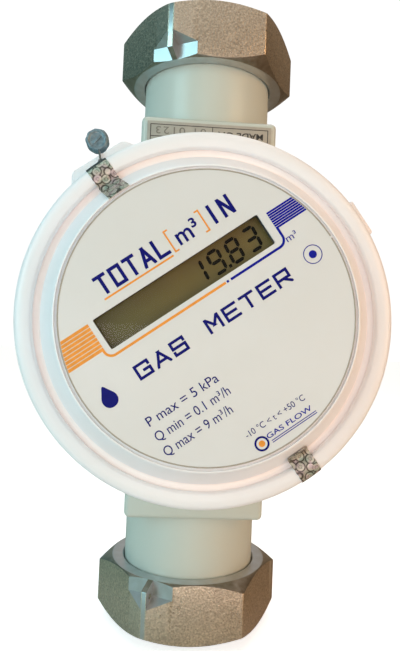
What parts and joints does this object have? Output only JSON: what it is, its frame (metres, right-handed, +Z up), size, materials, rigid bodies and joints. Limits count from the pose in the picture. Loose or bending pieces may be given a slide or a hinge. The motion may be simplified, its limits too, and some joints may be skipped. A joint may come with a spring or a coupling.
{
  "type": "gas meter",
  "caption": "Electronic jet gas meter with a round display head that turns on a metal body, and captive hexagon union nuts at inlet and outlet.",
  "frame": {"origin": "on the pipe axis, at mid-length between the two union nuts", "axes": "+Z up the pipe axis to the upper union nut, -Y out of the dial towards the reader, +X to the reader's right"},
  "size_m": [0.0986, 0.0796, 0.191],
  "materials": {
    "body_paint": "off-white gloss paint on a cast body",
    "nut_metal": "shot-blasted, nickel plated",
    "spring_steel": "bare",
    "zinc_steel": "zinc plated",
    "seal_rubber": "matt",
    "fibre_washer": "matt fibre sheet",
    "white_plastic": "moulded, satin gloss",
    "dial_print": "printed film",
    "jet_plastic": "moulded",
    "clear_pane": "clear",
    "lcd_glass": "olive display film",
    "board_green": "solder mask",
    "battery_wrap": "shrink film",
    "foil": "metallised holographic film",
    "lead": "pressed lead, dull",
    "label_grey": "printed film",
    "brass": "bare"
  },
  "bodies": {
    "body": {"body_casting": "body_paint", "chamber_plate": "body_paint", "chamber_gasket": "seal_rubber", "chamber_screw_1": "zinc_steel", "chamber_screw_2": "zinc_steel", "chamber_screw_3": "zinc_steel", "chamber_screw_4": "zinc_steel", "jet_module_base": "jet_plastic", "jet_splitter": "jet_plastic", "jet_module_gasket": "seal_rubber", "jet_module_cover": "jet_plastic", "jet_module_screw_1": "zinc_steel", "jet_module_screw_2": "zinc_steel", "jet_module_screw_3": "zinc_steel", "jet_module_screw_4": "zinc_steel", "piezo_sensor": "brass", "sensor_sleeve": "seal_rubber", "temperature_probe": "spring_steel", "inlet_strainer": "spring_steel", "upper_seal_washer": "fibre_washer", "lower_seal_washer": "fibre_washer", "swivel_retaining_ring": "spring_steel", "date_label": "label_grey"},
    "upper_ring": {"upper_snap_ring": "spring_steel"},
    "upper_nut": {"upper_union_nut": "nut_metal"},
    "lower_ring": {"lower_snap_ring": "spring_steel"},
    "lower_nut": {"lower_union_nut": "nut_metal"},
    "head": {"head_base": "white_plastic", "swivel_o_ring": "seal_rubber", "cover_gasket": "seal_rubber", "bezel_ring": "white_plastic", "front_cap": "white_plastic", "dial_label": "dial_print", "window_pane": "clear_pane", "lcd_panel": "lcd_glass", "lcd_frame": "white_plastic", "lcd_contact_strip_upper": "seal_rubber", "lcd_contact_strip_lower": "seal_rubber", "circuit_board": "board_green", "board_screw_1": "zinc_steel", "board_screw_2": "zinc_steel", "board_screw_3": "zinc_steel", "processor": "jet_plastic", "battery": "battery_wrap", "battery_holder": "jet_plastic", "seal_sticker_upper": "foil", "seal_sticker_lower": "foil"},
    "seal": {"lead_seal": "lead", "seal_wire": "zinc_steel"}
  },
  "joints": [
    {"name": "head_swivel", "type": "hinge", "parent": "body", "child": "head", "pos_m": [0, -0.0237, -0.0016], "axis": [0, 1, 0], "range_deg": [-134.3, 205.7]},
    {"name": "upper_nut_slide", "type": "slide", "parent": "body", "child": "upper_ring", "axis": [0, 0, 1], "range_m": [0, 0.002]},
    {"name": "upper_nut_spin", "type": "hinge", "parent": "upper_ring", "child": "upper_nut", "pos_m": [0, 0, 0.0866], "axis": [0, 0, 1], "continuous": true},
    {"name": "lower_nut_slide", "type": "slide", "parent": "body", "child": "lower_ring", "axis": [0, 0, -1], "range_m": [0, 0.002]},
    {"name": "lower_nut_spin", "type": "hinge", "parent": "lower_ring", "child": "lower_nut", "pos_m": [0, 0, -0.0866], "axis": [0, 0, 1], "continuous": true},
    {"name": "seal_swing", "type": "hinge", "parent": "head", "child": "seal", "pos_m": [-0.02947, -0.0367, 0.03941], "axis": [0, 1, 0], "range_deg": [-61, 19]}
  ]
}
